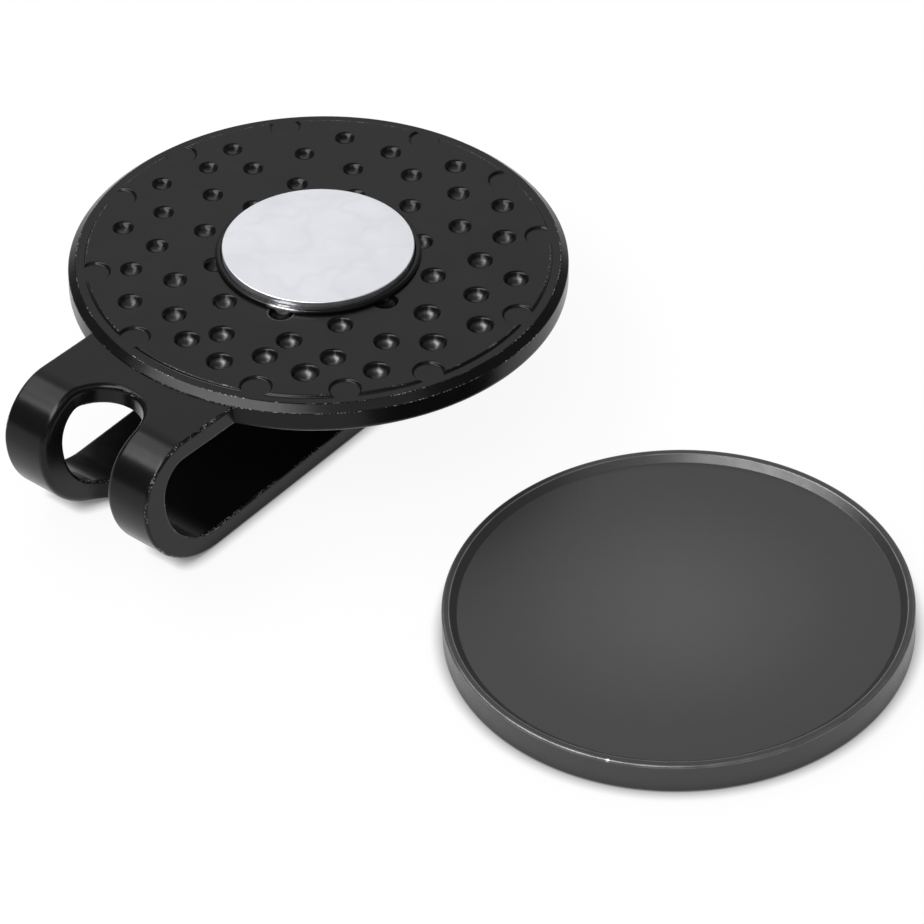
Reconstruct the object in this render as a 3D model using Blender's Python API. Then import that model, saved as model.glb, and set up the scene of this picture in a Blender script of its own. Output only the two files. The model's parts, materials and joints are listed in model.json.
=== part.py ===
"""Golf ball marker with its magnetic cap clip.

A dimpled round plate and a slotted hairpin spring are one piece of coated metal that slips over the brim of
a cap. A disc magnet, glued into a blind pocket in the plate, holds a loose steel marker disc. The marker
lies beside the clip here, taken off.

Frame: metres, +Z up. The origin is on the sole of the lower leg, straight below the plate's centre. The bend
of the hairpin points to -Y and the marker lies on the +X side. In the plate's own frame z = 0 is the flat
rim ring round the dimpled field.
"""

import math

import bmesh
import bpy
from mathutils import Matrix

MM = 0.001

# Hairpin spring: a strip bent from the lower leg round to the plate
STRIP_THICKNESS = 1.12 * MM  # of the legs
BEND_THICKNESS = 1.5 * MM  # where the bend reaches furthest out
STRIP_WIDTH = 9.75 * MM
STRIP_EDGE_ROUND = 0.14 * MM
BEND_PAST_PLATE = 5.85 * MM  # the plate's edge to the outermost face of the bend
LOWER_BEND_RADIUS = 5.05 * MM  # both radii are those of the outer face
UPPER_BEND_RADIUS = 3.0 * MM
JAW_TAPER = math.radians(2.93)  # the plate closes on the lower leg by this angle
LEG_TIP_SHORT = 4.0 * MM  # the lower leg stops this far short of the plate's edge above its tip
LEG_TIP_CORNER = 3.0 * MM
PLATE_OVERLAP = 4.0 * MM  # the strip's upper end lies this far inside the plate

# Slot along the middle of the hairpin, round at both ends
SLOT_WIDTH = 4.3 * MM
SLOT_PAST_LOWER_BEND = -0.2 * MM  # each end lies this far beyond the bend, on its leg
SLOT_PAST_UPPER_BEND = 1.2 * MM

# Round plate
PLATE_RADIUS = 13.0 * MM
CHAMFER_WIDTH = 0.40 * MM
CHAMFER_DROP = 0.35 * MM
STRIP_INSET = 0.03 * MM  # the strip's faces lie this far inside those of the plate's wall
UNDERSIDE_ROUND = 0.25 * MM

# Raised field on the plate, with notches round its edge
RIM_BAND = 0.9 * MM  # from the plate's edge in to the field's, chamfer and rim ring together
FIELD_HEIGHT = 0.12 * MM
FIELD_EDGE_ROUND = 0.05 * MM
NOTCH_RADIUS = 0.8 * MM
NOTCH_CENTRE_INSET = 0.45 * MM  # in from the field's edge
# Degrees round the plate, from the bend towards +X
NOTCH_ANGLES = (25.6, 47.9, 69.8, 102.8, 137.4, 164.0, 192.2, 230.0, 260.0, 284.5, 317.7, 347.7)

# Dimples: one sector's layout, repeated round the plate. Angles run from the bend towards +X, and
# distances are shares of the way from the magnet's lip out to the field's edge
SECTORS = 6
DIMPLE_RADIUS = 0.72 * MM
DIMPLE_DEPTH = 0.25 * MM
DIMPLE_LAYOUT = (  # share, degrees within the sector
    (0.455, 5.5),
    (0.347, 27.5),
    (0.536, 46.0),
    (0.651, 18.0),
    (0.755, 33.5),
    (0.763, 57.5),
    (0.139, 51.5),
    (0.009, 20.5),
)
# Where the layout leaves its rule: (sector, entry) and the dimple's own place
DIMPLES_MOVED = {
    (0, 1): (0.338, 30.0),
    (0, 3): (0.562, 24.0),
    (0, 4): (0.718, 37.5),
    (5, 5): (0.666, 58.5),
    (3, 5): (0.763, 67.0),
}
DIMPLES_ADDED = ((0.748, 12.5),)

# Magnet, its glue and its seat
MAGNET_RADIUS = 5.0 * MM
MAGNET_HEIGHT = 1.5 * MM
MAGNET_PROUD = 0.65 * MM  # above the rim ring
MAGNET_EDGE_ROUND = 0.12 * MM
MAGNET_CLEARANCE = 0.05 * MM  # round the magnet, in its pocket
ADHESIVE_THICKNESS = 0.08 * MM
ADHESIVE_INSET = 0.3 * MM  # the film stops this far inside the magnet's edge
FILM_CLEARANCE = 0.01 * MM  # above and below the film
LIP_WIDTH = 0.31 * MM
LIP_HEIGHT = 0.15 * MM  # above the field

# Marker disc
MARKER_RADIUS = 11.77 * MM
MARKER_THICKNESS = 1.7 * MM
MARKER_RIM_WIDTH = 0.38 * MM
MARKER_RECESS_DEPTH = 0.5 * MM
MARKER_WALL_SLOPE = 0.12 * MM  # how far the recess wall leans inward over its height
MARKER_FLOOR_FILLET = 0.25 * MM
MARKER_EDGE_ROUND = 0.12 * MM
MARKER_APART = 2.96 * MM  # between the plate's edge and the marker's, seen from above
MARKER_BEARING = math.radians(9.55)  # from +X round towards -Y

ROUND_STEPS = 96
NOTCH_STEPS = 20
DIMPLE_STEPS = 14
DIMPLE_RINGS = (0.36, 0.70, 1.12)  # of the angle at the dimple's rim
MERGE = 0.001 * MM

# Worked out from the sizes above
BEND_REACH = PLATE_RADIUS + BEND_PAST_PLATE  # from the plate's centre
LEG_TIP_REACH = PLATE_RADIUS - LEG_TIP_SHORT
LOWER_BEND_Y = BEND_REACH - LOWER_BEND_RADIUS
UPPER_BEND_Y = BEND_REACH - UPPER_BEND_RADIUS
LOWER_BEND_LENGTH = LOWER_BEND_RADIUS * math.pi / 2
UPPER_BEND_ANGLE = math.pi / 2 + JAW_TAPER
UPPER_BEND_LENGTH = UPPER_BEND_RADIUS * UPPER_BEND_ANGLE
LOWER_LEG_LENGTH = LEG_TIP_REACH + LOWER_BEND_Y
BENDS_END = LOWER_LEG_LENGTH + LOWER_BEND_LENGTH + UPPER_BEND_LENGTH
UPPER_LEG_LENGTH = UPPER_BEND_Y - PLATE_RADIUS + PLATE_OVERLAP
SLOT_START = LOWER_LEG_LENGTH - SLOT_PAST_LOWER_BEND
SLOT_END = BENDS_END + SLOT_PAST_UPPER_BEND
STRIP_DEPTH = CHAMFER_DROP + STRIP_INSET  # of the strip's top face below the rim ring
PLATE_THICKNESS = STRIP_DEPTH + STRIP_THICKNESS + STRIP_INSET
PLATE_Z = (
    LOWER_BEND_RADIUS
    + (UPPER_BEND_RADIUS + STRIP_DEPTH) / math.cos(JAW_TAPER)
    - UPPER_BEND_Y * math.tan(JAW_TAPER)
)
FIELD_RADIUS = PLATE_RADIUS - RIM_BAND
POCKET_RADIUS = MAGNET_RADIUS + MAGNET_CLEARANCE
LIP_RADIUS = POCKET_RADIUS + LIP_WIDTH
MAGNET_BASE = MAGNET_PROUD - MAGNET_HEIGHT
POCKET_FLOOR = MAGNET_BASE - ADHESIVE_THICKNESS - 2 * FILM_CLEARANCE
MARKER_DISTANCE = PLATE_RADIUS + MARKER_APART + MARKER_RADIUS
MARKER_CENTRE = (MARKER_DISTANCE * math.cos(MARKER_BEARING), -MARKER_DISTANCE * math.sin(MARKER_BEARING))


def clear_scene():
    for obj in list(bpy.data.objects):
        bpy.data.objects.remove(obj, do_unlink=True)


def make_material(name, colour, roughness, metallic):
    material = bpy.data.materials.new(name)
    material.use_nodes = True
    material.diffuse_color = (*colour, 1.0)
    shader = material.node_tree.nodes["Principled BSDF"]
    shader.inputs["Base Color"].default_value = (*colour, 1.0)
    shader.inputs["Roughness"].default_value = roughness
    shader.inputs["Metallic"].default_value = metallic
    return material


def add_object(name, mesh, parent=None):
    obj = bpy.data.objects.new(name, mesh)
    bpy.context.scene.collection.objects.link(obj)
    obj.parent = parent
    return obj


def mesh_from(bm, name):
    mesh = bpy.data.meshes.new(name)
    bm.to_mesh(mesh)
    bm.free()
    return mesh


def make_helper(obj):
    obj.hide_render = True
    obj.display_type = "WIRE"
    return obj


def finish_piece(obj, material):
    """Gives a piece its material, and smooth shading with sharp edges kept."""
    obj.data.materials.append(material)
    obj.data.shade_smooth()
    obj.data.set_sharp_from_angle(angle=math.radians(35))
    return obj


def arc(centre, radius, start, end, steps):
    """Points on an arc in the (radius, height) plane; angles in degrees."""
    points = []
    for step in range(steps + 1):
        angle = math.radians(start + (end - start) * step / steps)
        points.append((centre[0] + radius * math.cos(angle), centre[1] + radius * math.sin(angle)))
    return points


def polar(distance, degrees):
    """A place on the plate: the angle runs from the bend, at -Y, towards +X."""
    angle = math.radians(degrees)
    return distance * math.sin(angle), -distance * math.cos(angle)


def turned(name, profile, parent=None, steps=ROUND_STEPS):
    """A solid of revolution about Z. The profile runs from the axis out and down the outer side."""
    bm = bmesh.new()
    verts = [bm.verts.new((radius, 0.0, height)) for radius, height in profile]
    for first, second in zip(verts, verts[1:]):
        bm.edges.new((first, second))
    obj = add_object(name, mesh_from(bm, name), parent)
    screw = obj.modifiers.new("turn", "SCREW")
    screw.axis = "Z"
    screw.steps = steps
    screw.render_steps = steps
    screw.use_merge_vertices = True
    screw.merge_threshold = MERGE
    return obj


def boolean(obj, other, operation):
    modifier = obj.modifiers.new(f"{operation.lower()} {other.name}", "BOOLEAN")
    modifier.operation = operation
    modifier.object = other
    modifier.solver = "EXACT"


def strip_point(distance):
    """The strip's outer face, as (y, z), at a distance along it from the tip of the lower leg."""
    if distance < LOWER_LEG_LENGTH:
        return LEG_TIP_REACH - distance, 0.0
    distance -= LOWER_LEG_LENGTH
    if distance < LOWER_BEND_LENGTH:
        angle = distance / LOWER_BEND_RADIUS
        rise = LOWER_BEND_RADIUS * (1 - math.cos(angle))
        return -LOWER_BEND_Y - LOWER_BEND_RADIUS * math.sin(angle), rise
    distance -= LOWER_BEND_LENGTH
    angle = min(distance / UPPER_BEND_RADIUS, UPPER_BEND_ANGLE)
    run = max(distance - UPPER_BEND_LENGTH, 0.0)
    y = -UPPER_BEND_Y - UPPER_BEND_RADIUS * math.cos(angle) + run * math.cos(JAW_TAPER)
    z = LOWER_BEND_RADIUS + UPPER_BEND_RADIUS * math.sin(angle) - run * math.sin(JAW_TAPER)
    return y, z


def slot_half_width(distance):
    """Half the slot's width: a circle's at the round ends, zero beyond them."""
    radius = SLOT_WIDTH / 2
    inside = min(distance - SLOT_START, SLOT_END - distance, radius)
    return math.sqrt(max(radius**2 - (radius - inside) ** 2, 0.0)) if inside > 0 else 0.0


def strip_half_width(distance):
    """Half the strip's width, with round corners at the tip of the lower leg."""
    short = max(LEG_TIP_CORNER - distance, 0.0)
    return STRIP_WIDTH / 2 - LEG_TIP_CORNER + math.sqrt(LEG_TIP_CORNER**2 - short**2)


def bend_share(distance):
    """How far the thickness has grown from the legs' to the bend's: 0 on a leg, 1 furthest out."""
    beyond = distance - LOWER_LEG_LENGTH - LOWER_BEND_LENGTH
    radius = LOWER_BEND_RADIUS if beyond < 0 else UPPER_BEND_RADIUS
    return math.cos(min(abs(beyond) / radius, math.pi / 2)) ** 2


def strip_stations():
    """Distances along the strip at which it gets a row of vertices, closer together where it curves."""
    radius = SLOT_WIDTH / 2
    stations = [0.0, LOWER_LEG_LENGTH, BENDS_END, BENDS_END + UPPER_LEG_LENGTH]
    for step in range(2, 9):
        stations.append(LEG_TIP_CORNER * (1 - math.cos(math.radians(11.25 * step))))
    for step in range(9):
        round_end = radius * (1 - math.cos(math.radians(11.25 * step)))
        stations += [SLOT_START + round_end, SLOT_END - round_end]
    for step in range(1, 15):
        stations.append(LOWER_LEG_LENGTH + LOWER_BEND_LENGTH * step / 14)
    for step in range(1, 14):
        stations.append(BENDS_END - UPPER_BEND_LENGTH * step / 14)
    spaced = []
    for distance in sorted(stations):
        if not spaced or distance - spaced[-1] > 0.02 * MM:
            spaced.append(distance)
    return spaced


def build_hairpin():
    """The strip: half of its outer face, mirrored, thickened inward and rounded along its edges."""
    bm = bmesh.new()
    rows = []
    stations = strip_stations()
    for distance in stations:
        y, z = strip_point(distance)
        inner = bm.verts.new((slot_half_width(distance), y, z))
        outer = bm.verts.new((strip_half_width(distance), y, z))
        rows.append((inner, outer))
    for (inner, outer), (next_inner, next_outer) in zip(rows, rows[1:]):
        bm.faces.new((inner, outer, next_outer, next_inner))
    strip = make_helper(add_object("hairpin_strip", mesh_from(bm, "hairpin_strip")))
    growth = strip.vertex_groups.new(name="thickness growth")
    for index, distance in enumerate(stations):
        growth.add((2 * index, 2 * index + 1), bend_share(distance), "REPLACE")
    mirror = strip.modifiers.new("other half", "MIRROR")
    mirror.merge_threshold = MERGE
    solid = strip.modifiers.new("thickness", "SOLIDIFY")
    solid.thickness = BEND_THICKNESS
    solid.vertex_group = growth.name
    solid.thickness_vertex_group = STRIP_THICKNESS / BEND_THICKNESS
    solid.offset = -1.0
    solid.use_even_offset = True
    edge = strip.modifiers.new("edge", "BEVEL")
    edge.width = STRIP_EDGE_ROUND
    edge.segments = 2
    edge.limit_method = "ANGLE"
    edge.angle_limit = math.radians(50)
    return strip


def build_field(frame):
    """The raised field: a disc with round bites taken from its edge."""
    sunk = CHAMFER_DROP
    profile = [(0.0, FIELD_HEIGHT), (FIELD_RADIUS, FIELD_HEIGHT), (FIELD_RADIUS, -sunk), (0.0, -sunk)]
    field = make_helper(turned("raised_field", profile, frame))
    bm = bmesh.new()
    for angle in NOTCH_ANGLES:
        x, y = polar(FIELD_RADIUS - NOTCH_CENTRE_INSET, angle)
        bmesh.ops.create_cone(
            bm,
            cap_ends=True,
            segments=NOTCH_STEPS,
            radius1=NOTCH_RADIUS,
            radius2=NOTCH_RADIUS,
            depth=4 * sunk,
            matrix=Matrix.Translation((x, y, 0.0)),
        )
    notches = make_helper(add_object("notch_cutters", mesh_from(bm, "notch_cutters"), frame))
    boolean(field, notches, "DIFFERENCE")
    edge = field.modifiers.new("edge", "BEVEL")
    edge.width = FIELD_EDGE_ROUND
    edge.segments = 1
    edge.limit_method = "ANGLE"
    edge.angle_limit = math.radians(60)
    return field


def add_dimple_cutter(bm, x, y):
    """A ball's cap, carried on a little above the field, which it meets in the dimple's rim."""
    ball = (DIMPLE_RADIUS**2 + DIMPLE_DEPTH**2) / (2 * DIMPLE_DEPTH)
    rim_angle = math.asin(DIMPLE_RADIUS / ball)
    lowest = FIELD_HEIGHT - DIMPLE_DEPTH
    bottom = bm.verts.new((x, y, lowest))
    rings = []
    for share in DIMPLE_RINGS:
        angle = rim_angle * share
        radius = ball * math.sin(angle)
        height = lowest + ball * (1 - math.cos(angle))
        ring = []
        for step in range(DIMPLE_STEPS):
            turn = 2 * math.pi * step / DIMPLE_STEPS
            ring.append(bm.verts.new((x + radius * math.cos(turn), y + radius * math.sin(turn), height)))
        rings.append(ring)
    for step in range(DIMPLE_STEPS):
        following = (step + 1) % DIMPLE_STEPS
        bm.faces.new((bottom, rings[0][following], rings[0][step]))
        for low, high in zip(rings, rings[1:]):
            bm.faces.new((low[step], low[following], high[following], high[step]))
    bm.faces.new(rings[-1])


def dimple_places():
    """Each dimple's (share, degrees round the plate)."""
    places = list(DIMPLES_ADDED)
    for sector in range(SECTORS):
        for entry, place in enumerate(DIMPLE_LAYOUT):
            share, angle = DIMPLES_MOVED.get((sector, entry), place)
            places.append((share, angle + sector * 360 / SECTORS))
    return places


def build_dimple_cutters(frame):
    bm = bmesh.new()
    for share, angle in dimple_places():
        x, y = polar(LIP_RADIUS + share * (FIELD_RADIUS - LIP_RADIUS), angle)
        add_dimple_cutter(bm, x, y)
    return make_helper(add_object("dimple_cutters", mesh_from(bm, "dimple_cutters"), frame))


def build_clip_body(frame, material):
    """The plate, dimpled, lipped and bored for the magnet, then joined to the hairpin."""
    ring_edge = PLATE_RADIUS - CHAMFER_WIDTH
    underside = -PLATE_THICKNESS
    profile = [(0.0, 0.0), (ring_edge, 0.0), (PLATE_RADIUS, -CHAMFER_DROP)]
    centre = (PLATE_RADIUS - UNDERSIDE_ROUND, underside + UNDERSIDE_ROUND)
    profile += arc(centre, UNDERSIDE_ROUND, 0, -90, 2)
    profile.append((0.0, underside))
    body = turned("clip_body", profile, frame)
    boolean(body, build_field(frame), "UNION")
    boolean(body, build_dimple_cutters(frame), "DIFFERENCE")

    lip_top = FIELD_HEIGHT + LIP_HEIGHT
    profile = [(0.0, lip_top), (LIP_RADIUS, lip_top), (LIP_RADIUS, -STRIP_DEPTH), (0.0, -STRIP_DEPTH)]
    boolean(body, make_helper(turned("magnet_lip", profile, frame)), "UNION")
    above = 2 * MAGNET_PROUD
    profile = [(0.0, above), (POCKET_RADIUS, above), (POCKET_RADIUS, POCKET_FLOOR), (0.0, POCKET_FLOOR)]
    boolean(body, make_helper(turned("pocket_cutter", profile, frame)), "DIFFERENCE")
    boolean(body, build_hairpin(), "UNION")
    return finish_piece(body, material)


def build_magnet(frame, material):
    bottom = MAGNET_BASE + MAGNET_EDGE_ROUND
    top = MAGNET_PROUD - MAGNET_EDGE_ROUND
    edge = MAGNET_RADIUS - MAGNET_EDGE_ROUND
    profile = [(0.0, MAGNET_PROUD)]
    profile += arc((edge, top), MAGNET_EDGE_ROUND, 90, 0, 3)
    profile += arc((edge, bottom), MAGNET_EDGE_ROUND, 0, -90, 2)
    profile.append((0.0, MAGNET_BASE))
    return finish_piece(turned("magnet", profile, frame, steps=72), material)


def build_adhesive(frame, material):
    radius = MAGNET_RADIUS - ADHESIVE_INSET
    bottom = POCKET_FLOOR + FILM_CLEARANCE
    top = bottom + ADHESIVE_THICKNESS
    profile = [(0.0, top), (radius, top), (radius, bottom), (0.0, bottom)]
    return finish_piece(turned("magnet_adhesive", profile, frame, steps=48), material)


def build_marker(material):
    """The loose disc: raised rim, leaning recess wall with a fillet at its foot, flat floor."""
    floor = MARKER_THICKNESS - MARKER_RECESS_DEPTH
    edge = MARKER_EDGE_ROUND
    rim_inner = MARKER_RADIUS - MARKER_RIM_WIDTH
    fillet = (rim_inner - MARKER_WALL_SLOPE - MARKER_FLOOR_FILLET, floor + MARKER_FLOOR_FILLET)
    profile = [(0.0, floor)]
    profile += arc(fillet, MARKER_FLOOR_FILLET, -90, -10, 3)
    profile += [(rim_inner, MARKER_THICKNESS - edge / 2), (rim_inner + edge / 2, MARKER_THICKNESS)]
    profile += arc((MARKER_RADIUS - edge, MARKER_THICKNESS - edge), edge, 90, 0, 2)
    profile += arc((MARKER_RADIUS - edge, edge), edge, 0, -90, 2)
    profile.append((0.0, 0.0))
    marker = turned("marker_disc", profile)
    marker.location = (*MARKER_CENTRE, 0.0)
    return finish_piece(marker, material)


def main():
    clear_scene()
    black_coat = make_material("satin_black_coat", (0.030, 0.030, 0.031), 0.38, 0.0)
    nickel = make_material("nickel_plate", (0.80, 0.81, 0.84), 0.22, 1.0)
    glue = make_material("cured_glue", (0.55, 0.50, 0.40), 0.50, 0.0)
    grey_plate = make_material("dark_grey_plate", (0.085, 0.085, 0.086), 0.42, 0.6)

    plate_frame = add_object("plate_frame", None)
    plate_frame.location = (0.0, 0.0, PLATE_Z)
    plate_frame.rotation_euler = (-JAW_TAPER, 0.0, 0.0)
    build_clip_body(plate_frame, black_coat)
    build_magnet(plate_frame, nickel)
    build_adhesive(plate_frame, glue)
    build_marker(grey_plate)
    bpy.context.view_layer.update()


if __name__ == "__main__":
    main()
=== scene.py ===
"""Golf ball marker with its magnetic cap clip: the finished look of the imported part.

The clip is one body of black-coated metal: a dimpled round plate on a slotted hairpin spring, with a magnet
seated inside a lip at the plate's centre. The loose marker disc lies beside it.

Frame: metres, +Z up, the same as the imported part's. In the plate's own frame z = 0 is the flat rim ring
round the dimpled field, and angles run from the bend of the hairpin, at -Y, towards +X.
"""

import json
import math

import bmesh
import bpy
from bpy.props import FloatProperty, FloatVectorProperty, IntProperty, PointerProperty
from mathutils import Matrix, Vector


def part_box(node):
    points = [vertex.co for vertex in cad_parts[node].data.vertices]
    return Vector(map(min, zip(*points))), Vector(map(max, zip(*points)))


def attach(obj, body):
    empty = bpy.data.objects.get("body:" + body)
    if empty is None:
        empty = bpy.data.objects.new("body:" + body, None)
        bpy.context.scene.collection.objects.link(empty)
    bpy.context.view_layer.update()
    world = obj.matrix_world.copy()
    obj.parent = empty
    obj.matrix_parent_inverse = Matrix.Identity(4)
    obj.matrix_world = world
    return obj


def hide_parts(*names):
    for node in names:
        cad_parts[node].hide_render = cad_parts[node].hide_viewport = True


bl_info = {
    "name": "Golf Ball Marker and Cap Clip",
    "version": (1, 0, 0),
    "blender": (4, 5, 0),
    "location": "3D View > Sidebar > Ball Marker",
    "description": "Builds a dimpled cap clip with its magnet, the loose marker disc and a small studio",
    "category": "Add Mesh",
}

MM = 0.001
MERGE = 0.0005 * MM

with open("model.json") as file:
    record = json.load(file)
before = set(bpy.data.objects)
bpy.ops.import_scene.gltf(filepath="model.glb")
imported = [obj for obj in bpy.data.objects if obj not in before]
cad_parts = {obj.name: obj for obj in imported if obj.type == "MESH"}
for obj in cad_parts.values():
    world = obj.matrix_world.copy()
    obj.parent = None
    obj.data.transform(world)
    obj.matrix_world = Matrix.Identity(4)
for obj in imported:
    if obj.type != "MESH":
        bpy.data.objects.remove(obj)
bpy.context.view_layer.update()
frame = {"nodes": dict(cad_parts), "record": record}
MOUNTS = {mount["name"]: mount for mount in frame["record"]["mounts"]}

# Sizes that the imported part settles
CLIP_LOW, CLIP_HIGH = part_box("clip_body")
MAGNET_LOW, MAGNET_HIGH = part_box("magnet")
MARKER_LOW, MARKER_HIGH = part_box("marker_disc")
PLATE_RADIUS = (CLIP_HIGH.x - CLIP_LOW.x) / 2
BEND_REACH = -CLIP_LOW.y
MAGNET_RADIUS = (MAGNET_HIGH.x - MAGNET_LOW.x) / 2
MARKER_RADIUS = (MARKER_HIGH.x - MARKER_LOW.x) / 2
MARKER_THICKNESS = MARKER_HIGH.z - MARKER_LOW.z
MARKER_CENTRE = (MARKER_LOW + MARKER_HIGH) / 2
STRIP_THICKNESS = MOUNTS["jaw_lower"]["pos_m"][2]
PLATE_AXIS = Vector(MOUNTS["magnet_face"]["axis"]).normalized()
MAGNET_TOP = Vector(MOUNTS["magnet_face"]["pos_m"])
PLATE_BACK = Vector(MOUNTS["jaw_upper"]["pos_m"])
JAW_TAPER = math.atan2(PLATE_AXIS.y, PLATE_AXIS.z)

# Facets: round the dimples, the notches and the magnet's seat, along the marker's dish and the field's edge,
# round the strip's edges, tip corners and slot ends, and along its leg and the two halves of its bend
DIMPLE_FACETS = 32
NOTCH_STEPS = 28
SEAT_STEPS = 192
DISH_STEPS = 24
STEP_ROWS = 8
EDGE_STEPS = 4
CORNER_STEPS = 12
SLOT_STEPS = 18
LEG_STEPS = 8
LOWER_STEPS = 40
UPPER_STEPS = 36
CLOSEST = 0.004 * MM
# Flats beside rounded edges, which keep the shading of the faces that they join flat
BAND = 0.06 * MM

# Dimples: one sector's layout, repeated round the plate. Distances are shares of the way from the magnet's
# lip out to the field's edge, angles are degrees within the sector
SECTORS = 6
DIMPLE_LAYOUT = (
    (0.455, 5.5),
    (0.347, 27.5),
    (0.536, 46.0),
    (0.651, 18.0),
    (0.755, 33.5),
    (0.763, 57.5),
    (0.139, 51.5),
    (0.009, 20.5),
)
# Where the layout leaves its rule: (sector, entry) and the dimple's own place
DIMPLES_MOVED = {
    (0, 1): (0.338, 30.0),
    (0, 3): (0.562, 24.0),
    (0, 4): (0.718, 37.5),
    (5, 5): (0.666, 58.5),
    (3, 5): (0.763, 67.0),
}
DIMPLES_ADDED = ((0.748, 12.5),)
SIZE_SPREAD = 0.03
SEED = 7
# Notches round the field, in degrees
NOTCH_ANGLES = (25.6, 47.9, 69.8, 102.8, 137.4, 164.0, 192.2, 230.0, 260.0, 284.5, 317.7, 347.7)


def length(name, description, millimetres):
    """A length setting, given in millimetres and kept in metres."""
    return FloatProperty(
        name=name, description=description, default=millimetres * MM, min=0.0, unit="LENGTH", precision=5
    )


def angle_setting(name, description, degrees):
    """An angle setting, given in degrees and kept in radians."""
    return FloatProperty(name=name, description=description, default=math.radians(degrees), subtype="ANGLE")


def share_setting(name, description, share):
    """A setting without a unit, zero or more."""
    return FloatProperty(name=name, description=description, default=share, min=0.0)


def linear(text):
    """An sRGB hex colour as linear red, green and blue."""
    parts = (int(text[i : i + 2], 16) / 255 for i in (1, 3, 5))
    return tuple(p / 12.92 if p <= 0.04045 else ((p + 0.055) / 1.055) ** 2.4 for p in parts)


def colour(name, description, text):
    """A colour setting from an sRGB hex value."""
    return FloatVectorProperty(
        name=name, description=description, default=linear(text), min=0.0, max=1.0, subtype="COLOR"
    )


class SpringSizes(bpy.types.PropertyGroup):
    """Sizes of the hairpin spring."""

    width: length("Width", "Width of the strip", 9.75)
    bend_wall: length("Bend wall", "Thickness of the strip where the bend reaches furthest out", 1.5)
    edge_round: length("Edge round", "Radius of the strip's edges", 0.14)
    slot_round: length("Slot edge round", "Radius of the slot's edges on the outer face", 0.30)
    lower_bend: length("Lower bend", "Outer radius of the bend at the lower leg", 5.05)
    upper_bend: length("Upper bend", "Outer radius of the bend at the plate", 3.0)
    tip_short: length("Tip short of rim", "How far the lower leg stops short of the plate's far edge", 4.0)
    tip_corner: length("Tip corner", "Radius of the lower leg's corners", 3.0)
    overlap: length("Overlap", "How far the strip runs on into the plate", 4.0)
    slot_width: length("Slot width", "Width of the slot between the limbs", 4.3)
    slot_lower: length("Slot on lower leg", "How far the slot runs past the lower bend", -0.2)
    slot_upper: length("Slot on upper leg", "How far the slot runs past the upper bend", 1.2)


class PlateSizes(bpy.types.PropertyGroup):
    """Sizes of the round plate, its raised field and its dimples."""

    chamfer_width: length("Chamfer width", "Width of the chamfer, seen from above", 0.40)
    chamfer_drop: length("Chamfer drop", "Height of the chamfer", 0.35)
    chamfer_round: length("Chamfer round", "Radius of the chamfer's upper edge", 0.09)
    chamfer_foot: length("Chamfer foot", "Radius of the chamfer's lower edge", 0.07)
    back_round: length("Back round", "Radius of the plate's lower edge", 0.25)
    rim_band: length("Rim band", "From the plate's edge in to the field's", 0.9)
    field_height: length("Field height", "Height of the field above the rim ring", 0.12)
    step_width: length("Step width", "Width of the field's rounded edge", 0.14)
    notch_radius: length("Notch radius", "Radius of the notches round the field", 0.8)
    notch_inset: length("Notch inset", "From the field's edge in to a notch's centre", 0.45)
    dimple_radius: length("Dimple radius", "Radius of a dimple at the field", 0.61)
    dimple_slope: angle_setting("Dimple slope", "Slope of a dimple's side", 49)
    dimple_base: length("Dimple base", "Radius of a dimple's rounded bottom", 0.64)
    dimple_lip: length("Dimple edge round", "Radius of the edge round each dimple", 0.17)
    size_lean: share_setting("Size lean", "Share by which the dimples on one side are larger", 0.18)
    depth_lean: share_setting("Depth lean", "Share by which the dimples on one side are deeper", 0.25)
    lean_bearing: angle_setting("Lean bearing", "Where the largest dimples lie", 60)


class MagnetSizes(bpy.types.PropertyGroup):
    """Sizes of the magnet's seat."""

    height: length("Height", "Height of the magnet", 1.5)
    proud: length("Proud", "How far the magnet stands above the rim ring", 0.65)
    edge_round: length("Edge round", "Radius of the magnet's edges", 0.05)
    clearance: length("Clearance", "Gap round the magnet in its pocket", 0.05)
    floor_gap: length("Floor gap", "Glue and clearance beneath the magnet", 0.10)
    lip_width: length("Lip width", "Thickness of the lip round the magnet", 0.31)
    lip_height: length("Lip height", "Height of the lip above the field", 0.24)
    lip_round: length("Lip round", "Radius of the lip's outer edge", 0.16)
    pocket_round: length("Pocket round", "Radius of the pocket's edge", 0.05)


class MarkerSizes(bpy.types.PropertyGroup):
    """Sizes of the loose marker disc."""

    rim_width: length("Rim width", "Width of the raised rim's flat top", 0.38)
    recess_depth: length("Recess depth", "Depth of the recess inside the rim", 0.32)
    wall_slope: length("Wall slope", "How far the recess wall leans inward", 0.38)
    rim_round: length("Rim round", "Radius of the rim's inner edge", 0.10)
    floor_fillet: length("Floor fillet", "Radius at the foot of the recess wall", 0.10)
    edge_round: length("Edge round", "Radius of the disc's outer edges", 0.14)
    dish: length("Dish", "How far the floor's middle lies below its edge", 0.03)


class Finishes(bpy.types.PropertyGroup):
    """Colours of the finishes."""

    coat: colour("Black coat", "Colour of the black coat", "#090909")
    coat_thin: colour("Thin coat", "Colour of the coat where it lies thinner", "#0F0F10")
    coat_pressed: colour("Pressed coat", "Colour of the dimples' bottoms, where it glints", "#4E4E4F")
    bare_metal: colour("Bare metal", "Colour of the metal where the coat is rubbed through", "#C9C9C9")
    nickel: colour("Nickel", "Colour of the magnet's plating", "#F0F1F6")
    marker_plate: colour("Marker plating", "Colour of the marker's dark plating", "#555556")
    marker_edge: colour("Marker edge", "Colour of the plating where it is rubbed brighter", "#8C8C8D")
    glue: colour("Glue", "Colour of the cured glue", "#C4BBA4")
    floor: colour("Floor", "Colour of the studio floor", "#FBFBFB")


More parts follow.
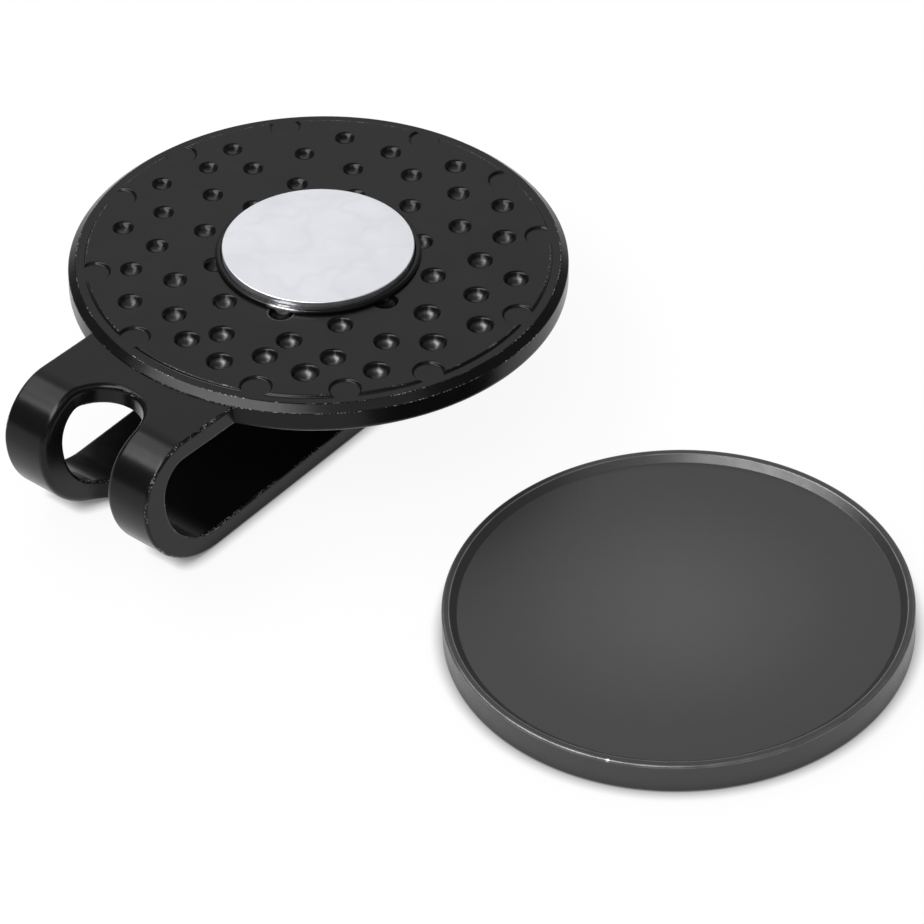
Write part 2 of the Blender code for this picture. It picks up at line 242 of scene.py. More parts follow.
class StageSettings(bpy.types.PropertyGroup):
    """Camera and light."""

    azimuth: angle_setting("Azimuth", "Camera's bearing from -Y towards +X", 41.9)
    elevation: angle_setting("Elevation", "Camera's height above the floor", 40.59)
    roll: angle_setting("Roll", "Camera's roll", -2.83)
    distance: length("Distance", "From the camera to the point it looks at", 287.2)
    lens: FloatProperty(name="Lens", description="Focal length", default=216.5, unit="CAMERA")
    target: FloatVectorProperty(
        name="Target",
        description="Point on the floor that the camera looks at",
        default=(10.6 * MM, -1.46 * MM, 0.0),
        subtype="TRANSLATION",
    )
    ambient: share_setting("Ambient", "Level of the light from all round", 0.42)
    reflected: share_setting("Reflected room", "Level of the room as it shows in reflections", 0.20)


class BallMarkerSettings(bpy.types.PropertyGroup):
    """All the settings of the ball marker."""

    spring: PointerProperty(type=SpringSizes)
    plate: PointerProperty(type=PlateSizes)
    magnet: PointerProperty(type=MagnetSizes)
    marker: PointerProperty(type=MarkerSizes)
    finish: PointerProperty(type=Finishes)
    stage: PointerProperty(type=StageSettings)
    ring_steps: IntProperty(name="Ring steps", description="Facets round the discs", default=256, min=64)


# Meshes


def polar(distance, degrees):
    """A place on the plate: the angle runs from the bend, at -Y, towards +X."""
    angle = math.radians(degrees)
    return distance * math.sin(angle), -distance * math.cos(angle)


def rounded(corners, steps=4, support=0.05 * MM):
    """A profile with its corners rounded.

    Each corner is (radius, height, rounding). Each rounding gets a short flat beside it, which keeps the
    shading of the faces that it joins flat.
    """
    points = [Vector(corners[0][:2])]
    for before, corner, after in zip(corners, corners[1:], corners[2:]):
        here = Vector(corner[:2])
        if corner[2] <= 0.0:
            points.append(here)
            continue
        back = (Vector(before[:2]) - here).normalized()
        on = (Vector(after[:2]) - here).normalized()
        half = back.angle(on) / 2
        reach = corner[2] / math.tan(half)
        centre = here + (back + on).normalized() * (corner[2] / math.sin(half))
        start, end = here + back * reach - centre, here + on * reach - centre
        turn = start.angle(end)
        points.append(centre + start + back * support)
        for step in range(steps + 1):
            share = step / steps
            arm = start * math.sin((1 - share) * turn) + end * math.sin(share * turn)
            points.append(centre + arm / math.sin(turn))
        points.append(centre + end + on * support)
    points.append(Vector(corners[-1][:2]))
    return points


def new_object(name, mesh):
    obj = bpy.data.objects.new(name, mesh)
    bpy.context.scene.collection.objects.link(obj)
    return obj


def mesh_from(bm, name):
    mesh = bpy.data.meshes.new(name)
    bm.to_mesh(mesh)
    bm.free()
    return mesh


def add_loop(bm, points):
    return [bm.verts.new(point) for point in points]


def bridge(bm, first, second):
    """Quads between two loops of the same number of vertices."""
    count = len(first)
    for i in range(count):
        j = (i + 1) % count
        bm.faces.new((first[i], first[j], second[j], second[i]))


def circle(radius, height, steps):
    """Points round a circle, counter-clockwise seen from above."""
    turns = [2 * math.pi * i / steps for i in range(steps)]
    return [(radius * math.cos(turn), radius * math.sin(turn), height) for turn in turns]


def add_turned(bm, profile, steps):
    """Faces of revolution about Z from a profile of (radius, height), closed where it meets the axis."""
    loops = []
    for radius, height in profile:
        ring = [(0.0, 0.0, height)] if radius < MERGE else circle(radius, height, steps)
        loops.append(add_loop(bm, ring))
    for above, below in zip(loops, loops[1:]):
        if len(above) == 1:
            for i in range(steps):
                bm.faces.new((above[0], below[i], below[(i + 1) % steps]))
        elif len(below) == 1:
            for i in range(steps):
                bm.faces.new((above[(i + 1) % steps], above[i], below[0]))
        else:
            bridge(bm, below, above)
    return loops


def add_ring(bm, profile, steps):
    """A closed ring of revolution: the profile's last point joins its first."""
    loops = [add_loop(bm, circle(radius, height, steps)) for radius, height in profile]
    for above, below in zip(loops, loops[1:] + loops[:1]):
        bridge(bm, below, above)


def close_up(bm):
    """Merges doubles and turns every face outward."""
    bmesh.ops.remove_doubles(bm, verts=bm.verts, dist=MERGE)
    bmesh.ops.recalc_face_normals(bm, faces=bm.faces)


def turned_mesh(profile, steps, name):
    """A closed solid of revolution as a mesh."""
    bm = bmesh.new()
    add_turned(bm, profile, steps)
    close_up(bm)
    return mesh_from(bm, name)


def turn_outward(mesh):
    bm = bmesh.new()
    bm.from_mesh(mesh)
    bmesh.ops.recalc_face_normals(bm, faces=bm.faces)
    bm.to_mesh(mesh)
    bm.free()


def plain_mesh(obj, name):
    """The object's evaluated shape as a plain mesh under a new name; the object itself is removed."""
    graph = bpy.context.evaluated_depsgraph_get()
    shape = obj.evaluated_get(graph)
    mesh = bpy.data.meshes.new_from_object(shape, preserve_all_data_layers=True, depsgraph=graph)
    mesh.name = name
    bpy.data.objects.remove(obj, do_unlink=True)
    return mesh


def smooth(mesh, degrees=38):
    mesh.shade_smooth()
    mesh.set_sharp_from_angle(angle=math.radians(degrees))


def write_values(mesh, name, values):
    """Keeps one value for each vertex under a name."""
    mesh.attributes.new(name, "FLOAT", "POINT").data.foreach_set("value", values)


def mark_edges(mesh, tightest, widest, spared=(), kept=None):
    """Writes edge_wear: 0 on flats and hollows, up to 1 on edges of the tightest radius.

    Spared places, each a point, its reach and the share of wear left there, wear less, but for what lies
    in reach of the kept one.
    """
    bm = bmesh.new()
    bm.from_mesh(mesh)
    bend = [0.0] * len(bm.verts)
    area = [0.0] * len(bm.verts)
    for edge in bm.edges:
        if len(edge.link_faces) == 2:
            turn = edge.calc_face_angle_signed(0.0) * edge.calc_length() / 2
            for vert in edge.verts:
                bend[vert.index] += turn
    for face in bm.faces:
        part = face.calc_area() / len(face.verts)
        for vert in face.verts:
            area[vert.index] += part
    bm.free()
    low, high = 1 / widest, 1 / tightest
    wear = [min(max((b / max(a, 1e-15) - low) / (high - low), 0.0), 1.0) for b, a in zip(bend, area)]
    for i, vert in enumerate(mesh.vertices):
        if wear[i] and not (kept and (vert.co - kept[0]).length < kept[1]):
            shares = [left for place, reach, left in spared if (vert.co - place).length < reach]
            wear[i] *= min(shares, default=1.0)
    write_values(mesh, "edge_wear", wear)


def mark_pits(mesh, centres, reach, deep):
    """Writes pit: 0 at the field's level and out of the centres' reach, 1 at a depth below that level."""
    pit = [0.0] * len(mesh.vertices)
    for i, vert in enumerate(mesh.vertices):
        fallen = centres[0].z - vert.co.z
        if 0.0 < fallen < 2 * deep and any((vert.co - centre).length < reach for centre in centres):
            pit[i] = min(fallen / deep, 1.0)
    write_values(mesh, "pit", pit)


# Hairpin spring


class Strip:
    """The spring's strip: places along it are measured from the tip of the lower leg."""

    def __init__(self, sizes):
        self.sizes = sizes
        self.tip_reach = PLATE_RADIUS - sizes.tip_short
        self.lower_y = BEND_REACH - sizes.lower_bend
        self.upper_y = BEND_REACH - sizes.upper_bend
        self.leg = self.tip_reach + self.lower_y
        self.lower_bend = sizes.lower_bend * math.pi / 2
        self.upper_turn = math.pi / 2 + JAW_TAPER
        self.bends_end = self.leg + self.lower_bend + sizes.upper_bend * self.upper_turn
        self.end = self.bends_end + self.upper_y - PLATE_RADIUS + sizes.overlap
        self.slot_start = self.leg - sizes.slot_lower
        self.slot_end = self.bends_end + sizes.slot_upper
        self.slot_radius = sizes.slot_width / 2

    def fold(self, along, depth):
        """The point (y, z) at a depth below the outer face."""
        sizes = self.sizes
        if along < self.leg:
            return self.tip_reach - along, depth
        along -= self.leg
        if along < self.lower_bend:
            angle, radius = along / sizes.lower_bend, sizes.lower_bend - depth
            return -self.lower_y - radius * math.sin(angle), sizes.lower_bend - radius * math.cos(angle)
        along -= self.lower_bend
        angle, radius = min(along / sizes.upper_bend, self.upper_turn), sizes.upper_bend - depth
        run = max(along - sizes.upper_bend * self.upper_turn, 0.0)
        y = -self.upper_y - radius * math.cos(angle) + run * math.cos(JAW_TAPER)
        return y, sizes.lower_bend + radius * math.sin(angle) - run * math.sin(JAW_TAPER)

    def thickness(self, along):
        """The strip's thickness, which grows towards the middle of the bend."""
        beyond = along - self.leg - self.lower_bend
        radius = self.sizes.lower_bend if beyond < 0.0 else self.sizes.upper_bend
        share = math.cos(min(abs(beyond) / radius, math.pi / 2)) ** 2
        return STRIP_THICKNESS + (self.sizes.bend_wall - STRIP_THICKNESS) * share

    def slot_point(self, along, inside):
        """Half the slot's width, and the real distance in from the slot's edge."""
        centres = (self.slot_start + self.slot_radius, self.slot_end - self.slot_radius)
        beyond = max(centres[0] - along, along - centres[1], 0.0)
        radius = self.slot_radius + inside
        if beyond >= radius:
            return 0.0, beyond - self.slot_radius
        return math.sqrt(radius**2 - beyond**2), inside

    def side_point(self, along, inside):
        """Half the strip's width, and the real distance in from its edge."""
        inside = min(inside, along)
        corner = self.sizes.tip_corner
        short = max(corner - along, 0.0)
        half = self.sizes.width / 2 - corner + math.sqrt(max((corner - inside) ** 2 - short**2, 0.0))
        return half, inside

    def stations(self, tip_insets, slot_insets):
        """Places along the strip that get a row of vertices."""
        corner = self.sizes.tip_corner
        upper = self.bends_end - self.leg - self.lower_bend
        places = [0.0, self.leg, self.bends_end, self.end]
        places += tip_insets
        places += [corner * share for share in quarter(CORNER_STEPS)[2:]]
        for inset in tip_insets + slot_insets:
            places += [self.slot_start - inset, self.slot_end + inset]
        for share in quarter(SLOT_STEPS):
            reach = self.slot_radius * share
            places += [self.slot_start + reach, self.slot_end - reach]
        places += [corner + (self.slot_start - corner) * i / LEG_STEPS for i in range(LEG_STEPS)]
        places += [self.leg + self.lower_bend * i / LOWER_STEPS for i in range(1, LOWER_STEPS + 1)]
        places += [self.bends_end - upper * i / UPPER_STEPS for i in range(1, UPPER_STEPS)]
        spaced = []
        for place in sorted(places):
            if not spaced or place - spaced[-1] > CLOSEST:
                spaced.append(place)
        return spaced


def quarter(steps):
    """How far a quarter turn has come in from its edge after each step, for a radius of 1."""
    return [1 - math.cos(math.radians(90 * i / steps)) for i in range(steps + 1)]


def drop(inside, radius):
    """How far a rounded edge lies below its face, at a distance in from the edge."""
    return radius - math.sqrt(max(radius**2 - (radius - min(inside, radius)) ** 2, 0.0))


def build_hairpin(strip):
    """The strip as a closed solid, its edges rounded, its slot round at both ends."""
    radius = strip.sizes.edge_round

    def insets(edge_radius):
        return [edge_radius * share for share in quarter(EDGE_STEPS)] + [edge_radius + BAND]

    def half_face(along, slot_radius):
        """Half of one face, from the slot out to the side: points as x and the depth below it."""
        tip_drop = drop(along, radius)
        x, inside = strip.slot_point(along, 0.0)
        points = [(x, slot_radius + BAND if inside <= 0.0 else max(drop(inside, slot_radius), tip_drop))]
        for inset in insets(slot_radius):
            x, inside = strip.slot_point(along, inset)
            points.append((x, max(drop(inside, slot_radius), tip_drop)))
        for inset in reversed(insets(radius)):
            x, inside = strip.side_point(along, inset)
            points.append((x, drop(min(inside, along), radius)))
        points.append((strip.side_point(along, 0.0)[0], radius + BAND))
        return points

    def row(along):
        """One half's cross-section: outer face from the slot out, down the side, inner face back."""
        thickness = strip.thickness(along)
        chain = half_face(along, strip.sizes.slot_round)
        chain += [(x, thickness - depth) for x, depth in reversed(half_face(along, radius))]
        return [(x, *strip.fold(along, depth)) for x, depth in chain]

    bm = bmesh.new()
    stations = strip.stations(insets(radius), insets(strip.sizes.slot_round))
    rows = [add_loop(bm, row(along)) for along in stations]
    for first, second in zip(rows, rows[1:]):
        bridge(bm, first, second)
    tip, count, step = rows[0], len(rows[0]) // 2, Vector((0.0, 0.0, BAND))
    low = [tip[i].co.copy() for i in (1, count - 2)]
    high = [tip[i].co.copy() for i in (-2, count + 1)]
    levels = [low, [point + step for point in low], [point - step for point in high], high]
    corners = [add_loop(bm, level) for level in levels]
    for (inner, outer), (next_inner, next_outer) in zip(corners, corners[1:]):
        bm.faces.new((inner, outer, next_outer, next_inner))
    bm.faces.new(rows[-1])
    bmesh.ops.remove_doubles(bm, verts=bm.verts, dist=MERGE)
    bmesh.ops.dissolve_degenerate(bm, edges=bm.edges, dist=MERGE)
    on_middle = [f for f in bm.faces if all(abs(v.co.x) < MERGE for v in f.verts)]
    bmesh.ops.delete(bm, geom=on_middle, context="FACES")
    loose = [v for v in bm.verts if not v.link_faces]
    bmesh.ops.delete(bm, geom=loose, context="VERTS")
    bmesh.ops.mirror(bm, geom=bm.verts[:] + bm.edges[:] + bm.faces[:], axis="X", merge_dist=MERGE)
    close_up(bm)
    return mesh_from(bm, "hairpin")


# Round plate


def notched_loop(field_radius, centre_distance, notch_radius, inset, height):
    """The field's outline, moved inward by an inset: arcs of the field's circle between round notches."""
    radius, notch = field_radius - inset, notch_radius + inset
    cosine = (radius**2 + centre_distance**2 - notch**2) / (2 * radius * centre_distance)
    mouth = math.acos(cosine)
    swing = math.atan2(radius * math.sin(mouth), radius * math.cos(mouth) - centre_distance)
    points = []
    for i, angle in enumerate(NOTCH_ANGLES):
        turn = math.radians(angle)
        out, along = Vector(polar(1.0, angle)), Vector((math.cos(turn), math.sin(turn)))
        for step in range(NOTCH_STEPS):
            bearing = -swing - (2 * math.pi - 2 * swing) * step / NOTCH_STEPS
            place = out * (centre_distance + notch * math.cos(bearing))
            place += along * (notch * math.sin(bearing))
            points.append((place.x, place.y, height))
        following = math.radians(NOTCH_ANGLES[(i + 1) % len(NOTCH_ANGLES)])
        gap = (following - turn) % (2 * math.pi)
        steps = 4 * round(math.degrees(gap) / 6)  # about 1.5 degrees each
        for step in range(steps):
            bearing = turn + mouth + (gap - 2 * mouth) * step / steps
            x, y = polar(radius, math.degrees(bearing))
            points.append((x, y, height))
    return points


def fill_between(bm, first, second):
    """A flat face between two loops in one plane."""
    edges = []
    for loop in (first, second):
        for one, other in zip(loop, loop[1:] + loop[:1]):
            edges.append(bm.edges.get((one, other)) or bm.edges.new((one, other)))
    bmesh.ops.triangle_fill(bm, use_beauty=True, edges=edges, normal=(0.0, 0.0, 1.0))


def build_plate_shell(sizes, thickness, steps):
    """The plate but for the flat of its raised field, which is left open."""
    bm = bmesh.new()
    field_radius = PLATE_RADIUS - sizes.rim_band
    centre_distance = field_radius - sizes.notch_inset
    half = sizes.step_width / 2
    step = [(half + BAND, sizes.field_height)]
    for i in range(STEP_ROWS + 1):
        share = i / STEP_ROWS
        ease = share * share * (3 - 2 * share)
        step.append((half - sizes.step_width * share, sizes.field_height * (1 - ease)))
    step.append((-half - BAND, 0.0))
    loops = [
        add_loop(bm, notched_loop(field_radius, centre_distance, sizes.notch_radius, inset, height))
        for inset, height in step
    ]
    for above, below in zip(loops, loops[1:]):
        bridge(bm, below, above)
    ring_edge = PLATE_RADIUS - sizes.chamfer_width
    profile = rounded(
        [
            (ring_edge - 0.2 * MM, 0.0, 0.0),
            (ring_edge, 0.0, sizes.chamfer_round),
            (PLATE_RADIUS, -sizes.chamfer_drop, sizes.chamfer_foot),
            (PLATE_RADIUS, -thickness, sizes.back_round),
            (PLATE_RADIUS / 2, -thickness, 0.0),
            (0.0, -thickness, 0.0),
        ]
    )
    turned = add_turned(bm, profile, steps)
    fill_between(bm, loops[-1], turned[0])
    bmesh.ops.remove_doubles(bm, verts=bm.verts, dist=MERGE)
    return mesh_from(bm, "plate_shell")


def build_bowl(sizes, steps):
    """One dimple: a flat collar at z = 0, a rounded edge, a sloping side and a rounded bottom."""
    slope, base, lip = sizes.dimple_slope, sizes.dimple_base, sizes.dimple_lip
    lip_rows, side_rows, base_rows = 5, 4, 6
    reach = sizes.dimple_radius + lip * math.tan(slope / 2)
    profile = [(reach + 0.03 * MM, 0.0)]
    for i in range(lip_rows + 1):
        angle = slope * i / lip_rows
        profile.append((reach - lip * math.sin(angle), -lip * (1 - math.cos(angle))))
    foot = base * math.sin(slope)
    low = -(sizes.dimple_radius - foot) * math.tan(slope)
    side, height = profile[-1]
    for i in range(1, side_rows):
        share = i / side_rows
        profile.append((side + (foot - side) * share, height + (low - height) * share))
    bottom = low - base * (1 - math.cos(slope))
    for i in range(base_rows + 1):
        angle = slope * (1 - i / base_rows)
        profile.append((base * math.sin(angle), bottom + base * (1 - math.cos(angle))))
    bm = bmesh.new()
    add_turned(bm, profile, steps)
    return mesh_from(bm, "dimple_bowl"), profile[0][0]


def dimple_places(sizes, lip_radius):
    """One vertex for each dimple, on the field."""
    field_radius = PLATE_RADIUS - sizes.rim_band
    places = []
    for sector in range(SECTORS):
        for entry, place in enumerate(DIMPLE_LAYOUT):
            share, angle = DIMPLES_MOVED.get((sector, entry), place)
            places.append((share, angle + sector * 360 / SECTORS))
    places += DIMPLES_ADDED
    points = []
    for share, angle in places:
        x, y = polar(lip_radius + share * (field_radius - lip_radius), angle)
        points.append((x, y, sizes.field_height))
    mesh = bpy.data.meshes.new("dimple_places")
    mesh.from_pydata(points, [], [])
    lean = Vector(polar(1 / field_radius, math.degrees(sizes.lean_bearing)))
    write_values(mesh, "lean", [lean.dot(Vector(point[:2])) for point in points])
    return mesh


def feed(node, inputs):
    """Links each input given as a socket, and sets any other."""
    for key, value in inputs.items():
        if isinstance(value, bpy.types.NodeSocket):
            node.id_data.links.new(value, node.inputs[key])
        else:
            node.inputs[key].default_value = value


def add_node(tree, kind, inputs=None, **settings):
    """Adds a node with its inputs and settings."""
    node = tree.nodes.new(kind)
    for name, value in settings.items():
        setattr(node, name, value)
    feed(node, inputs or {})
    return node


def outcome(tree, kind, inputs=None, socket=0, **settings):
    """Adds a node and gives one of its outputs."""
    return add_node(tree, kind, inputs, **settings).outputs[socket]


def joined(tree, parts):
    """Joins geometry in the order given."""
    node = add_node(tree, "GeometryNodeJoinGeometry")
    for part in parts:
        feed(node, {"Geometry": part})
    return node.outputs["Geometry"]


def maths(tree, operation, first, second):
    return outcome(tree, "ShaderNodeMath", {0: first, 1: second}, operation=operation)


def dimple_tree(values):
    """Nodes that fill the plate's field and set a dimple on each place, larger where it leans.

    Each value becomes a named input, and each number its default.
    """
    tree = bpy.data.node_groups.new("dimpled_field", "GeometryNodeTree")
    kinds = {"float": "Float", "int": "Int", "Object": "Object", "Material": "Material"}
    tree.interface.new_socket("Geometry", in_out="INPUT", socket_type="NodeSocketGeometry")
    for name, value in values.items():
        kind = kinds[type(value).__name__]
        socket = tree.interface.new_socket(name, in_out="INPUT", socket_type="NodeSocket" + kind)
        if kind in ("Float", "Int"):
            socket.default_value = value
    tree.interface.new_socket("Geometry", in_out="OUTPUT", socket_type="NodeSocketGeometry")
    given = add_node(tree, "NodeGroupInput").outputs

    def made(kind, inputs=None, socket=0, **settings):
        return outcome(tree, "GeometryNode" + kind, inputs, socket, **settings)

    places = made("ObjectInfo", {"Object": given["Places"]}, "Geometry")
    bowl = made("ObjectInfo", {"Object": given["Bowl"]}, "Geometry")
    smallest = maths(tree, "SUBTRACT", 1.0, given["Size Spread"])
    largest = maths(tree, "ADD", 1.0, given["Size Spread"])
    drawn = {2: smallest, 3: largest, "Seed": given["Seed"]}
    uneven = outcome(tree, "FunctionNodeRandomValue", drawn, 1, data_type="FLOAT")
    lean = made("InputNamedAttribute", {"Name": "lean"}, "Attribute", data_type="FLOAT")
    larger = maths(tree, "ADD", maths(tree, "MULTIPLY", lean, given["Size Lean"]), 1.0)
    deeper = maths(tree, "ADD", maths(tree, "MULTIPLY", lean, given["Depth Lean"]), 1.0)
    size = maths(tree, "MULTIPLY", uneven, larger)
    deep = maths(tree, "MULTIPLY", size, deeper)
    ring = {"Resolution": given["Facets"], "Radius": given["Collar Radius"]}
    collar = made("CurvePrimitiveCircle", ring)
    form = outcome(tree, "ShaderNodeCombineXYZ", {"X": size, "Y": size, "Z": deep})
    collars = made("InstanceOnPoints", {"Points": places, "Instance": collar, "Scale": size})
    bowls = made("InstanceOnPoints", {"Points": places, "Instance": bowl, "Scale": form})
    faces_beside = made("InputMeshEdgeNeighbors", socket="Face Count")
    compared = {2: faces_beside, 3: 1}
    is_open = outcome(tree, "FunctionNodeCompare", compared, "Result", data_type="INT", operation="EQUAL")
    outline = made("MeshToCurve", {"Mesh": given["Geometry"], "Selection": is_open})
    holes = made("RealizeInstances", {"Geometry": collars})
    loops = {"Curve": joined(tree, (outline, holes))}
    flat = made("FillCurve", loops, mode="TRIANGLES")
    height = outcome(tree, "ShaderNodeCombineXYZ", {"Z": given["Field Height"]})
    raised = made("Transform", {"Geometry": flat, "Translation": height})
    whole = joined(tree, (bowls, raised, given["Geometry"]))
    real = made("RealizeInstances", {"Geometry": whole})
    merged = made("MergeByDistance", {"Geometry": real, "Distance": 2 * MERGE})
    coated = made("SetMaterial", {"Geometry": merged, "Material": given["Material"]})
    add_node(tree, "NodeGroupOutput", {"Geometry": coated})
    return tree


def set_inputs(modifier, values):
    """Sets a node modifier's inputs by their sockets' identifiers."""
    items = modifier.node_group.interface.items_tree
    sockets = {item.name: item.identifier for item in items if item.in_out == "INPUT"}
    for name, value in values.items():
        modifier[sockets[name]] = value


# Materials


def new_material(name):
    material = bpy.data.materials.new(name)
    material.use_nodes = True
    tree = material.node_tree
    return material, tree, tree.nodes["Principled BSDF"]


def noise(tree, size, detail=2.0, roughness=0.5, offset=(0.0, 0.0, 0.0), stretch=(1.0, 1.0, 1.0)):
    """Noise on Object coordinates with features of a size in millimetres."""
    place = outcome(tree, "ShaderNodeTexCoord", socket="Object")
    place = outcome(tree, "ShaderNodeMapping", {"Vector": place, "Location": offset, "Scale": stretch})
    grain = {"Vector": place, "Scale": 1 / (size * MM), "Detail": detail, "Roughness": roughness}
    return outcome(tree, "ShaderNodeTexNoise", grain, "Fac")


def distance_from(tree, place, flat=False):
    """Distance from a place on the piece, or from the upright line through it."""
    found = outcome(tree, "ShaderNodeTexCoord", socket="Object")
    kept = (1.0, 1.0, 0.0 if flat else 1.0)
    aside = tuple(-value * share for value, share in zip(place, kept))
    found = outcome(tree, "ShaderNodeMapping", {"Vector": found, "Location": aside, "Scale": kept})
    return outcome(tree, "ShaderNodeVectorMath", {0: found}, "Value", operation="LENGTH")


def map_range(tree, value, low, high, to_low=0.0, to_high=1.0, soft=False):
    ends = {"Value": value, "From Min": low, "From Max": high, "To Min": to_low, "To Max": to_high}
    return outcome(tree, "ShaderNodeMapRange", ends, interpolation_type="SMOOTHSTEP" if soft else "LINEAR")


def mix_colour(tree, factor, first, second):
    """A blend of two colours, each a socket or red, green and blue."""
    first, second = (c if isinstance(c, bpy.types.NodeSocket) else (*c, 1.0) for c in (first, second))
    return outcome(tree, "ShaderNodeMix", {0: factor, 6: first, 7: second}, 2, data_type="RGBA")


def marked(tree, name):
    """A value that the mesh keeps under a name."""
    return outcome(tree, "ShaderNodeAttribute", None, "Fac", attribute_name=name)


def relief(tree, depth, height):
    """A normal for a fine surface of a depth in millimetres."""
    return outcome(tree, "ShaderNodeBump", {"Strength": 1.0, "Distance": depth * MM, "Height": height})


def scaled(tone, share):
    """A colour made darker or lighter by a share."""
    return [min(part * share, 1.0) for part in tone]


def black_coat_material(finish, rubbed):
    """Satin black e-coat on steel.

    The eye gets a soft, deep black that is a little greyer where the paint lies thin, a faint orange peel
    in the reflections, broad glints at the bottoms of the dimples, and bright specks where the coat is
    rubbed through on sharp edges.
    """
    material, tree, shader = new_material("satin_black_coat")
    wear, pit = marked(tree, "edge_wear"), marked(tree, "pit")
    specks = map_range(tree, noise(tree, 0.11, detail=3.0, roughness=0.65), 0.52, 0.62)
    patches = map_range(tree, noise(tree, 1.6, offset=(3 * MM, 0.0, 0.0)), 0.44, 0.58)
    away = distance_from(tree, rubbed)
    near = map_range(tree, away, 0.4 * MM, 1.0 * MM, 1.0, 0.0, soft=True)
    core = map_range(tree, away, 0.25 * MM, 0.5 * MM, 0.8, 0.0, soft=True)
    worn = maths(tree, "MAXIMUM", maths(tree, "MULTIPLY", specks, patches), near)
    bare = maths(tree, "MAXIMUM", maths(tree, "MULTIPLY", wear, worn), core)
    thin = map_range(tree, noise(tree, 4.0, detail=3.0), 0.35, 0.65)
    pressed = map_range(tree, pit, 0.5, 1.0, soft=True)
    coat = mix_colour(tree, thin, finish.coat, finish.coat_thin)
    coat = mix_colour(tree, pressed, coat, finish.coat_pressed)
    satin = map_range(tree, noise(tree, 0.9, detail=3.0), 0.3, 0.7, 0.20, 0.26)
    looks = {
        "Base Color": mix_colour(tree, bare, coat, finish.bare_metal),
        "Metallic": maths(tree, "MAXIMUM", bare, pressed),
        "Roughness": maths(tree, "ADD", satin, maths(tree, "MULTIPLY", pressed, 0.11)),
        "IOR": 1.295,
        "Normal": relief(tree, 0.0016, noise(tree, 0.42)),
    }
    feed(shader, looks)
    return material


def nickel_material(finish):
    """Satin nickel plating on a sintered magnet.

    The eye gets a pale, slightly blue metal whose broad reflections waver, as the ground face under the
    plating is not quite flat.
    """
    material, tree, shader = new_material("satin_nickel_plating")
    tint = map_range(tree, noise(tree, 2.5, detail=3.0), 0.35, 0.65)
    folded = maths(tree, "SUBTRACT", noise(tree, 3.6, offset=(0.0, 4 * MM, 0.0)), 0.5)
    fold = maths(tree, "ABSOLUTE", folded, 0.0)
    crease = map_range(tree, fold, 0.0, 0.05, 0.3, 0.0, soft=True)
    plate = mix_colour(tree, tint, finish.nickel, scaled(finish.nickel, 1.06))
    waves = noise(tree, 3.2, detail=3.0, roughness=0.6, stretch=(1.0, 1.6, 1.0))
    looks = {
        "Base Color": mix_colour(tree, crease, plate, scaled(finish.nickel, 0.93)),
        "Metallic": 1.0,
        "Roughness": map_range(tree, noise(tree, 1.8), 0.3, 0.7, 0.40, 0.48),
        "Normal": relief(tree, 0.02, waves),
    }
    feed(shader, looks)
    return material


def nick_place():
    """The place on the marker's upper edge where a nick bares the metal."""
    inset = 0.03 * MM
    x, y = polar(MARKER_RADIUS - inset, 21.5)
    return Vector((MARKER_CENTRE.x + x, MARKER_CENTRE.y + y, MARKER_HIGH.z - inset))


def marker_material(finish, sizes):
    """Satin gunmetal plating on a steel blank.

    The eye gets a dark grey, lighter in the middle and darker towards the rim as painted sheen and painted
    shade, then a smoother turned rim, rubbed brighter on its edges, with one bright nick.
    """
    material, tree, shader = new_material("satin_gunmetal_plating")
    worn = map_range(tree, noise(tree, 1.2, detail=3.0), 0.25, 0.75, 0.35, 1.0)
    rubbed = maths(tree, "MULTIPLY", marked(tree, "edge_wear"), worn)
    cloud = map_range(tree, noise(tree, 5.0, detail=3.0), 0.3, 0.7)
    out = distance_from(tree, MARKER_CENTRE, flat=True)
    foot, blur = MARKER_RADIUS - sizes.rim_width - sizes.wall_slope, 0.03 * MM
    # Painted sheen and shade: the plating's colour is lighter in the middle and darker towards the rim
    middle = map_range(tree, out, 0.0, 0.9 * MARKER_RADIUS, 1.0, 0.0, soft=True)
    turned = map_range(tree, out, foot - blur, foot + blur)
    nick = map_range(tree, distance_from(tree, nick_place()), 0.05 * MM, 0.14 * MM, 1.0, 0.0)
    # A darker copy of the plating: the painted shade towards the rim, and the tone of the random clouds
    painted_rim_shade_and_cloud = scaled(finish.marker_plate, 0.60)
    plate = mix_colour(tree, middle, painted_rim_shade_and_cloud, finish.marker_plate)
    plate = mix_colour(tree, maths(tree, "MULTIPLY", cloud, 0.12), plate, painted_rim_shade_and_cloud)
    plate = mix_colour(tree, turned, plate, scaled(finish.marker_plate, 0.63))
    plate = mix_colour(tree, rubbed, plate, finish.marker_edge)
    blasted = map_range(tree, noise(tree, 0.7, detail=3.0), 0.3, 0.7, 0.40, 0.46)
    looks = {
        "Base Color": mix_colour(tree, nick, plate, finish.bare_metal),
        "Metallic": map_range(tree, turned, 0.0, 1.0, 0.35, 0.55),
        "Roughness": maths(tree, "SUBTRACT", blasted, maths(tree, "MULTIPLY", turned, 0.1)),
        "Normal": relief(tree, 0.0008, noise(tree, 0.15)),
    }
    feed(shader, looks)
    return material


def glue_material(finish):
    """Cured epoxy: a cloudy amber film, glossy at its edge."""
    material, tree, shader = new_material("cured_epoxy")
    cloud = map_range(tree, noise(tree, 0.8, detail=3.0), 0.3, 0.7)
    looks = {
        "Base Color": mix_colour(tree, cloud, finish.glue, scaled(finish.glue, 0.8)),
        "Roughness": map_range(tree, noise(tree, 0.5), 0.3, 0.7, 0.25, 0.4),
        "IOR": 1.55,
    }
    feed(shader, looks)
    return material


